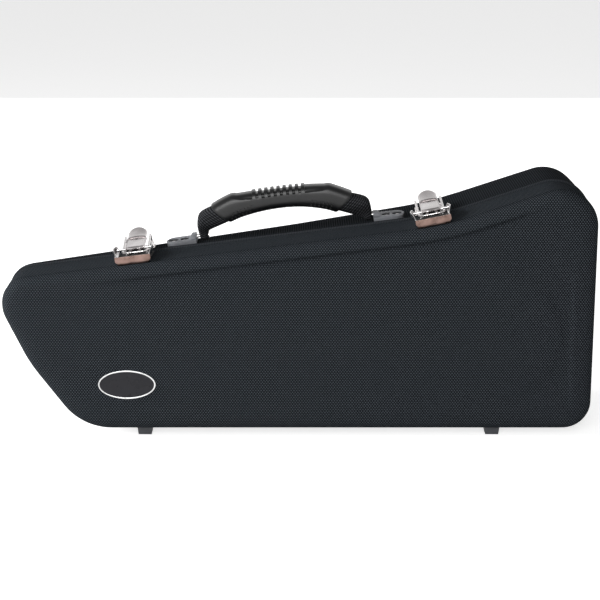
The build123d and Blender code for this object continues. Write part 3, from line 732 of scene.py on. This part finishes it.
def line_height(line, x):
    """The height of a line at x, with its knots eased into one another."""
    index = max(1, min(len(line) - 2, next((k for k in range(len(line)) if line[k][0] > x), len(line) - 1)))
    (x0, z0), (x1, z1) = line[index - 1], line[index]
    before, after = line[max(index - 2, 0)], line[min(index + 1, len(line) - 1)]
    slope_in = (z1 - before[1]) / (x1 - before[0])
    slope_out = (after[1] - z0) / (after[0] - x0)
    t, run = (x - x0) / (x1 - x0), x1 - x0
    return (z0 * (1 + 2 * t) * (1 - t) ** 2 + slope_in * run * t * (1 - t) ** 2
            + z1 * t * t * (3 - 2 * t) + slope_out * run * t * t * (t - 1))


def saddle_depth(x, below):
    """How far the saddle lies under the grip's surface. Ribs stand up between deeper gaps."""
    lip = (SADDLE_LIP + 1.0) * max(1 - (abs(x) / SADDLE_HALF) ** 6, 0.0) ** 0.5 - 1.0
    rib = max(ease(RIB_HALF - abs(x - rib_x), -0.2, 0.2) for rib_x in RIB_XS)
    ribbed = RIB_XS[0] - RIB_HALF < x < RIB_XS[-1] + RIB_HALF
    depth = RIB_GAP_DEPTH * (1 - rib) if ribbed else SADDLE_DEPTH * ease(SADDLE_HALF - abs(x), -1.0, 4.0)
    return depth * ease(lip - below, -0.45, 0.45)


def grip_point(u, b, f, shrink):
    """The grip's surface at station u. b goes across it and f up it, each from -1 to 1.

    shrink draws it in towards the grip's middle, for the rows that close its ends.
    """
    side = math.copysign(1.0, u)
    lean = GRIP_LEAN * ease(abs(u), 34.0, GRIP_END) * side
    high, low = line_height(GRIP_TOP, u + lean), line_height(GRIP_LOW, u - lean)
    half_height = (high - low) / 2
    x = u + lean * f + 0.2 * lean * (1 - f * f)
    out = Vector((0.0, abs(b) ** 2.2 * b / GRIP_HALF, abs(f) ** 2.2 * f / half_height))
    out = out.normalized() if out.length else out
    point = Vector((x, GRIP_HALF * b, (high + low) / 2 + half_height * f))
    sink = saddle_depth(x, high - point.z) if abs(x) < 50 else 0.0
    middle = Vector((x, 0.0, (high + low) / 2))
    return point.lerp(middle, shrink) - out * (sink * (1 - shrink))


def grip_stations():
    edges = [rib_x + off for rib_x in RIB_XS for off in (-1.95, -1.55, 0.0, 1.55, 1.95, 3.05)]
    plain = [x * 1.5 for x in range(-40, 41) if not RIB_XS[0] - 2 < x * 1.5 < RIB_XS[-1] + 3.5]
    shoulders = [side * (46.0 + 0.5 * step) for side in (-1, 1) for step in range(7)]
    return sorted(set(edges + plain + shoulders))


GRIP_ROUND = section_ring(104, 3.2, 26.0, 18.0)
stations = grip_stations()
grip_rows = [(-GRIP_END, shrink) for shrink in (1.0, 0.16, 0.06, 0.02)] + [(u, 0.0) for u in stations]
grip_rows += [(GRIP_END, shrink) for shrink in (0.02, 0.06, 0.16, 1.0)]


def grip_place(i, j):
    b, f, _ = GRIP_ROUND[i]
    u, shrink = grip_rows[j]
    tuck = 0.8 * ease(shrink, 0.1, 0.16) * math.copysign(1.0, u)
    return HANDLE @ (grip_point(u, b, f, shrink) - Vector((tuck, 0.0, 0.0)))


grip = closed_tube("grip_body", len(GRIP_ROUND) - 1, len(grip_rows) - 1, grip_place)
nothing_selected()
bpy.ops.mesh.primitive_ico_sphere_add(subdivisions=2, radius=0.0008)
dot = bpy.context.object
dots = []
for face_side in (-1, 1):
    for middle in (-40.0, 39.0):
        for row in range(DOT_ROWS):
            for column in range(DOT_COLUMNS):
                x = middle + (column - 2.5) * 3.7 + (row - 1) * 0.9
                z = line_height(GRIP_LOW, x) + 4.0 + 2.7 * row
                piece = dot.copy()
                piece.data = dot.data.copy()
                bpy.context.scene.collection.objects.link(piece)
                place = HANDLE @ Vector((x, face_side * (GRIP_HALF - 0.3), z))
                piece.data.transform(Matrix.Translation(place))
                dots.append(piece)
bpy.data.objects.remove(dot)
grip = joined("grip_body", [smooth(grip, 35)] + [smooth(piece, 80) for piece in dots])
dress(grip, "handle", GRIP_RUBBER, "grip_rubber", "handle_grip")


def through(points, steps):
    """Points along a smooth curve through points, steps to each span."""
    ends = [points[0] * 2 - points[1], *points, points[-1] * 2 - points[-2]]
    found = []
    for a, b, c, d in zip(ends, ends[1:], ends[2:], ends[3:]):
        for step in range(steps):
            t = step / steps
            found.append((b * 2 + (c - a) * t + (a * 2 - b * 5 + c * 4 - d) * t * t
                          + (b * 3 - a - c * 3 + d) * t ** 3) / 2)
    return found + [points[-1]]


# The outer and the inner line of each strap, from the grip down to its pin, by the side it is on.
STRAP_LINES = {
    -1: ([(62, 35.4), (70, 33.6), (78, 31.0), (82.1, 28.8),
          (84.6, 25.6), (86.3, 17.5), (86.2, 10.5), (84.9, 2.2)],
         [(48, 19.0), (55, 17.2), (60.5, 15.4), (68, 13.0),
          (74.6, 10.6), (76.4, 7.6), (77.0, 4.6), (78.4, 1.6)]),
    1: ([(60, 32.4), (69, 29.6), (78, 26.6), (83.5, 23.8),
         (86.2, 20.2), (87.3, 13.5), (87.3, 7.0), (85.9, 1.8)],
        [(46, 17.2), (53, 15.2), (62, 11.4), (70, 7.8),
         (74.5, 6.0), (77.2, 4.8), (78.4, 3.4), (79.6, 1.6)]),
}
STRAP_ROUND = section_ring(56, 3.4, 25.0, 10.0)
STRAP_WAIST, STRAP_FLARE = 5.0, 7.2


def strap_half_width(z):
    """Half the strap's width at height z: round below the pin, and flared from its waist up to the grip."""
    below = HANDLE_AXIS_HEIGHT - z
    if below > 0:
        return math.sqrt(max(STRAP_WAIST ** 2 - below * below, 1.0))
    return STRAP_WAIST + STRAP_FLARE * ease(-below, 0.0, 15.0)


def handle_strap(side, node):
    """The webbing of one end, from inside the grip down to its pin."""
    lines = [through([Vector(point) for point in line], 9) for line in STRAP_LINES[side]]
    runs = [0.0]
    middles = [(a + b) / 2 for a, b in zip(*lines)]
    for a, b in zip(middles, middles[1:]):
        runs.append(runs[-1] + (b - a).length)
    last = len(runs) - 1
    rows = [(0, 0.0), (0, 0.8)] + [(j, 1.0) for j in range(len(runs))] + [(last, 0.8), (last, 0.0)]

    def place(i, j):
        stop, size = rows[j]
        across, up, _ = STRAP_ROUND[i]
        outer, inner = lines[0][stop], lines[1][stop]
        flat = inner.lerp(outer, (1 + up * size) / 2)
        return HANDLE @ Vector((side * flat.x, across * size * strap_half_width(flat.y), flat.y))

    def cloth(i, j):
        return STRAP_ROUND[i][2], runs[rows[j][0]]

    strap = closed_tube(node + "_webbing", len(STRAP_ROUND) - 1, len(rows) - 1, place, {"cloth": cloth})
    dress(smooth(strap, 60), "handle", STRAP, "webbing", node)


PLATE_START, PLATE_TOP = 88.6, 4.3
HOLLOW_HALF, HOLLOW_DEPTH = 6.5, 0.3


def handle_plate(side, node):
    """The CAD's end plate with a ridge round its far recess, chevrons by the near one and painted shade in
    its hollows.
    """
    pieces = [softened(node, 0.7)]
    back = HANDLE.inverted()
    for vertex in pieces[0].data.vertices:
        spot = back @ vertex.co
        spot.y += math.copysign(2.3 * ease(abs(spot.y), 6.0, 9.0), spot.y)
        spot.z += 0.7 * ease(spot.z, 0.8, 1.6)
        vertex.co = HANDLE @ spot
    ring = section_ring(40, 2.0, 14.0, 14.0)
    ridge_stops = []
    for across, up, _ in ring:
        spot = Vector((side * (PLATE_START + 23.5 + 6.3 * across), 8.6 * up, PLATE_TOP - 0.35))
        ridge_stops.append((spot, Vector((side * across, up, 0.0)) * 0.9, Vector((0.0, 0.0, 0.55))))
    pieces.append(swept("ridge", HANDLE, ridge_stops, 10, 2.4, 0.2))
    for row in range(4):
        for hand in (-1, 1):
            near = Vector((side * (PLATE_START + 4.6 + 3.7 * row), hand * 6.2, PLATE_TOP - 0.2))
            far = near + Vector((side * 3.6, hand * 6.4, -0.1))
            along = (far - near).normalized()
            wide = along.cross(Vector((0.0, 0.0, 1.0))) * 0.95
            stops = [(near.lerp(far, share), wide, Vector((0.0, 0.0, 0.6))) for share in (0.0, 0.5, 1.0)]
            pieces.append(swept("chevron", HANDLE, stops, 10, 2.4))
    plate = joined(node + "_finished", [smooth(piece) for piece in pieces])
    dress(plate, "base", GREY_PLASTIC, "grey_plastic", node)
    plate.data.materials.append(HOLLOW_SHADE_PLASTIC)
    # Painted shade: faces deep in the hollows get the dark plastic.
    for face in plate.data.polygons:
        spot = back @ face.center
        face.material_index = int(abs(spot.y) < HOLLOW_HALF and spot.z < PLATE_TOP - HOLLOW_DEPTH)


for side, hand in ((-1, "left"), (1, "right")):
    handle_strap(side, "handle_strap_" + hand)
    handle_plate(side, "handle_plate_" + hand)

# ---- latches ----
TOGGLE = Vector((0.0, -29.3, 6.68))
LEVER_START, LEVER_LENGTH = -27.6, 33.0
LEVER_CORNER, LEVER_FLAT = 5.5, 4.0
TONGUE_START, TONGUE_LENGTH, TONGUE_TIP = 2.4, 21.8, 15.0
TONGUE_HALF, TONGUE_TIP_LENGTH = 9.3, 9.2
BAIL_HALF, BAIL_CORNER, BAIL_CORNER_Y = 12.4, 5.5, -23.8
WING_FRONT, WING_LENGTH, WING_FOOT = -49.6, 38.0, 0.4


def sheet_metal(name, columns, rows, place, thickness):
    """A pressed sheet with its thickness under the given surface."""
    piece = formed(name, columns, rows, place)
    clean(piece, 0.00001)
    apply_modifier(piece, "SOLIDIFY", thickness=thickness / 1000, offset=-1.0, use_rim=True)
    return face_outwards(piece)


def tube_between(name, frame_matrix, start, end, radius):
    """A round bar with softened ends."""
    start, end = Vector(start), Vector(end)
    along = (end - start).normalized()
    side = along.orthogonal().normalized() * radius
    rise = along.cross(side)
    stops = [(start.lerp(end, share), side, rise) for share in (0.0, 0.5, 1.0)]
    return swept(name, frame_matrix, stops, 20, 2.0, 0.4)


def latch_lever(latch, node, body):
    """Thumb lever: a plate with rolled edges, a domed tongue, a knuckle and two curls for the bail."""
    def plate_place(i, j):
        u, v = 2 * i / 26 - 1, j / 40
        y = LEVER_START + LEVER_LENGTH * v
        corner = max(LEVER_START + LEVER_CORNER - y, 0.0)
        half = LEVER_FLAT + math.sqrt(max(LEVER_CORNER ** 2 - corner * corner, 0.0))
        x = u * half
        rim = LEVER_CORNER - math.hypot(max(abs(x) - LEVER_FLAT, 0.0), corner)
        z = 11.5 + 2.0 * v + 0.35 * (1 - u * u) - 1.9 * (1 - ease(rim, -0.2, 1.8)) ** 2
        return latch @ Vector((x, y, z))

    def tongue_place(i, j):
        u, v = 2 * i / 26 - 1, j / 36
        y = TONGUE_START + TONGUE_LENGTH * math.sin(v * math.pi / 2)
        over = max(y - TONGUE_TIP, 0.0) / TONGUE_TIP_LENGTH
        half = TONGUE_HALF * math.sqrt(max(1 - over * over, 0.0))
        x = u * half
        rim = TONGUE_HALF - math.hypot(x, max(y - TONGUE_TIP, 0.0))
        z = 14.6 + 5.2 * ((y - TONGUE_START) / TONGUE_LENGTH) ** 1.25
        z += 0.9 * (1 - (x / TONGUE_HALF) ** 2) - 1.1 * (1 - ease(rim, 0.0, 1.6))
        z -= 0.6 * (1 - ease(y, TONGUE_START, TONGUE_START + 0.8))
        return latch @ Vector((x, y, z))

    plate = sheet_metal("lever_plate", 26, 40, plate_place, 1.1)
    nothing_selected()
    bpy.ops.mesh.primitive_cylinder_add(vertices=24, radius=0.0016, depth=0.012)
    drill = bpy.context.object
    drill.data.transform(latch @ Matrix.Translation((0.0, -1.6, 12.5)) @ Matrix.Scale(1000, 4))
    make_active(plate)
    cut = plate.modifiers.new("hole", "BOOLEAN")
    cut.operation, cut.solver, cut.object = "DIFFERENCE", "EXACT", drill
    bpy.ops.object.modifier_apply(modifier="hole")
    bpy.data.objects.remove(drill)
    pieces = [plate, sheet_metal("lever_tongue", 26, 36, tongue_place, 1.1)]
    pieces.append(tube_between("knuckle", latch, (-8.6, -24, 9.5), (8.6, -24, 9.5), 2.0))
    for side in (-1, 1):
        x = side * 4.4
        pieces.append(tube_between("curl", latch, (x - 1.6, *TOGGLE.yz), (x + 1.6, *TOGGLE.yz), 1.9))
        stops = [((x, y, z), (1.6, 0.0, 0.0), (0.0, -0.4, 0.7))
                 for y, z in ((-23.6, 9.8), (-26.5, 8.3), (-29.3, 6.7))]
        pieces.append(swept("arm", latch, stops))
        stops = [((side * 8.9, y, z), (0.55, 0.0, 0.0), (0.0, 0.0, half))
                 for y, z, half in ((-26.2, 10.1, 1.1), (-20, 10.8, 1.2), (0, 12.0, 1.4), (4, 12.8, 1.8))]
        pieces.append(swept("flange", latch, stops))
    lever = joined(node + "_pressed", [smooth(piece, 50) for piece in pieces])
    dress(lever, body, DARK_NICKEL, "dark_nickel", node)


def latch_bail(latch, node, body):
    """The U of flat strap: a front bar through the lever's curls, two arms and a hook at the end of each."""
    side_line = [(15.6, 6.7), (15.6, 9.4), (15.5, 11.4), (14.7, 12.9), (13.0, 13.4), (8.0, 12.4),
                 (-3.0, 10.1), (-16.0, 7.5), (-20.5, 7.0), (BAIL_CORNER_Y, 6.8)]
    arm = [(BAIL_HALF, y, z) for y, z in side_line]
    wide = [Vector((1.0, 0.0, 0.0))] * len(arm)
    for step in range(1, 8):
        turn = math.radians(90 * step / 7)
        arm.append((BAIL_HALF - BAIL_CORNER + BAIL_CORNER * math.cos(turn),
                    BAIL_CORNER_Y - BAIL_CORNER * math.sin(turn), TOGGLE.z))
        wide.append(Vector((math.cos(turn), -math.sin(turn), 0.0)))
    arm.append((3.0, *TOGGLE.yz))
    wide.append(Vector((0.0, -1.0, 0.0)))
    arm += [(-x, y, z) for x, y, z in reversed(arm)]
    wide += [Vector((-v.x, v.y, v.z)) for v in reversed(wide)]
    stops = []
    for index, (spot, out) in enumerate(zip(arm, wide)):
        spot = Vector(spot)
        ahead = Vector(arm[min(index + 1, len(arm) - 1)]) - Vector(arm[max(index - 1, 0)])
        rise = ahead.cross(out).normalized()
        stops.append((spot, out * 1.1, rise))
    bail = smooth(swept(node + "_bent", latch, stops, 16, 3.0, 0.5), 50)
    # Painted highlight: the bail is given the lighter nickel, brighter than the lever.
    dress(bail, body, NICKEL, "dark_nickel", node)


def latch_bracket(latch, node):
    """The CAD's bracket with a painted copper reflection on its face, painted shade behind it, and a flared
    wing in place of each cheek, lighter as a painted highlight.
    """
    bracket = softened(node, 0.35)
    back = latch.inverted()
    turn = back.to_3x3().normalized()
    for vertex in bracket.data.vertices:
        spot = back @ vertex.co
        if spot.y < -48.6:
            spot.x = spot.x * 0.955 - 0.5
        elif abs(spot.x) > 15.1 and spot.z > 1.6:
            spot.z = 1.6
        vertex.co = latch @ spot
    dress(bracket, "lid", DARK_NICKEL, "dark_nickel", node)
    bracket.data.materials.append(COPPER_REFLECTION_NICKEL)
    bracket.data.materials.append(BRACKET_SHADE_BLACK)
    for face in bracket.data.polygons:
        spot, facing = back @ face.center, turn @ face.normal
        # Painted reflection: the front of the face is dark and copper-toned.
        if spot.y < -47.9 and facing.y < 0.7:
            face.material_index = 1
        # Painted shade: the bracket behind its face is black.
        elif spot.y > -48.9:
            face.material_index = 2

    def wing_place(side):
        def place(i, j):
            y = WING_FRONT + WING_LENGTH * i / 30
            top = 7.6 + 5.4 * ease(y, WING_FRONT, -33.0) - 10.8 * ease(y, -22.0, WING_FRONT + WING_LENGTH)
            low = WING_FOOT + 3.8 * (1 - ease(y, WING_FRONT, -44.0))
            z = low + (top - low) * j / 10
            bulge = math.exp(-((y + 31.0) / 9.5) ** 2) * ease(z, 2.0, 10.0)
            return latch @ Vector((side * (16.2 + 3.2 * bulge) - 0.4, y, z))
        return place

    wings = [smooth(sheet_metal("wing", 30, 10, wing_place(side), 0.9), 50) for side in (-1, 1)]
    # Painted highlight: the wings are given the lighter nickel, brighter than the rest of the bracket.
    dress(joined(node + "_wings", wings), "lid", NICKEL, "dark_nickel")


for hand in ("left", "right"):
    latch = frame_on_wall(f"lever_{hand}_hinge", *LATCH_PIVOT)
    latch_lever(latch, "latch_lever_" + hand, "lever_" + hand)
    latch_bail(latch, "latch_bail_" + hand, "bail_" + hand)
    latch_bracket(latch, "latch_bracket_" + hand)

# ---- hardware that keeps the CAD's shape, with its edges rounded ----
hardware = [
    ("latch_keeper_left", "base", DARK_NICKEL, "dark_nickel", 0.4),
    ("latch_keeper_right", "base", DARK_NICKEL, "dark_nickel", 0.4),
    ("hinge_base_leaves", "base", DARK_NICKEL, "dark_nickel", 0.3),
    ("hinge_lid_leaves", "lid", DARK_NICKEL, "dark_nickel", 0.3),
    ("base_feet", "base", FOOT_PLASTIC, "foot_plastic", 0.8),
    ("lid_feet", "lid", FOOT_PLASTIC, "foot_plastic", 0.8),
    ("badge_plate", "lid", BADGE_METAL, "badge_metal", 0.4),
    ("flap_pull_tab", "flap", STRAP, "webbing", 0.3),
]
for node, body, material, slot, width in hardware:
    dress(softened(node, width), body, material, slot, node)

kept = {
    "badge_inlay": LACQUER, "hinge_pins": NICKEL, "hinge_base_rivets": NICKEL, "hinge_lid_rivets": NICKEL,
    "latch_pivot_pins": NICKEL, "bracket_rivets": NICKEL, "keeper_rivets": NICKEL, "handle_pins": NICKEL,
    "handle_plate_rivets": NICKEL, "base_foot_rivets": NICKEL, "lid_foot_rivets": NICKEL,
}
for node, material in kept.items():
    mesh = nodes[node].data
    mesh.materials.clear()
    mesh.materials.append(material)

# ---- floor, light and camera ----
FLOOR_GLOW = 0.72
floor_paint = Paint("floor", Roughness=0.9, Base_Color=(0.78, 0.78, 0.78, 1.0), Specular_IOR_Level=0.1)
seen_floor = floor_paint.add("LightPath", None, None, 0).most(floor_paint.add("LightPath", None, None, 3))
floor_paint.finish(Emission_Color=(1.0, 1.0, 1.0, 1.0), Emission_Strength=seen_floor * FLOOR_GLOW)
nothing_selected()
bpy.ops.mesh.primitive_plane_add(size=30, location=(0, 0, 0))
floor = bpy.context.object
floor.name = "floor"
floor.data.materials.append(floor_paint.material)

world = bpy.data.worlds.new("studio")
bpy.context.scene.world = world
world.use_nodes = True
air = world.node_tree
backdrop = air.nodes["Background"]
backdrop.inputs["Color"].default_value = (1, 1, 1, 1)


def air_node(kind, settings, sockets):
    """A node of the world. A socket's value is a number or another node's output."""
    node = air.nodes.new("ShaderNode" + kind)
    for key, value in settings.items():
        setattr(node, key, value)
    for key, value in sockets.items():
        if isinstance(value, bpy.types.NodeSocket):
            air.links.new(value, node.inputs[key])
        else:
            node.inputs[key].default_value = value
    return node


rays = air_node("LightPath", {}, {})
heading = air_node("TexCoord", {}, {}).outputs["Generated"]
height = air_node("SeparateXYZ", {}, {"Vector": heading})
towards_dark = air_node("VectorMath", {"operation": "DOT_PRODUCT"}, {0: heading, 1: (0.75, 0.0, 0.65)})
ceiling = air_node("MapRange", {}, {"Value": height.outputs["Z"], "From Min": 0.45, "From Max": 0.85,
                                    "To Min": 1.0, "To Max": 0.35})
mirrored = air_node("Math", {"operation": "MULTIPLY"},
                    {0: rays.outputs["Is Glossy Ray"], 1: ceiling.outputs[0]})
seen = air_node("Math", {"operation": "MAXIMUM"}, {0: rays.outputs["Is Camera Ray"], 1: mirrored.outputs[0]})
falling = air_node("MapRange", {}, {"Value": towards_dark.outputs["Value"], "From Min": -0.5, "From Max": 0.7,
                                    "To Min": 0.32, "To Max": 0.0})
level = air_node("Math", {"operation": "MAXIMUM"}, {0: seen.outputs[0], 1: falling.outputs[0]})
air.links.new(level.outputs[0], backdrop.inputs["Strength"])


def softbox(name, place, aim, width, height, power):
    """A large soft lamp that looks at a point."""
    light = bpy.data.lights.new(name, "AREA")
    light.shape = "RECTANGLE"
    light.size, light.size_y, light.energy = width, height, power
    lamp = bpy.data.objects.new(name, light)
    bpy.context.scene.collection.objects.link(lamp)
    lamp.location = place
    lamp.visible_glossy = name == "front_softbox"
    lamp.rotation_euler = (Vector(aim) - Vector(place)).to_track_quat("-Z", "Y").to_euler()
    return lamp


softbox("front_softbox", (-0.4, -2.3, 1.1), (0, 0, 0.12), 1.6, 1.2, 42)
softbox("left_softbox", (-1.8, -0.3, 0.85), (-0.1, 0, 0.15), 0.8, 0.8, 50)
softbox("right_softbox", (2.0, -0.5, 0.35), (0, 0, 0.12), 0.8, 0.6, 4)
softbox("back_softbox", (0.0, 2.3, 0.5), (0, 0, 0.12), 1.6, 0.8, 26)

VIEW_DISTANCE, VIEW_ELEVATION, VIEW_SPAN = 1.6, math.radians(15.0), 0.600
target = Vector((0.00125, MOVED.y / 1000, 0.1250))
camera = bpy.data.cameras.new("camera")
camera.lens_unit = "FOV"
camera.angle = 2 * math.atan(VIEW_SPAN / 2 / VIEW_DISTANCE)
eye = bpy.data.objects.new("camera", camera)
bpy.context.scene.collection.objects.link(eye)
eye.location = target + VIEW_DISTANCE * Vector((0, -math.cos(VIEW_ELEVATION), math.sin(VIEW_ELEVATION)))
eye.rotation_euler = (math.pi / 2 - VIEW_ELEVATION, 0, 0)
bpy.context.scene.camera = eye
bpy.context.scene.view_settings.view_transform = "Standard"
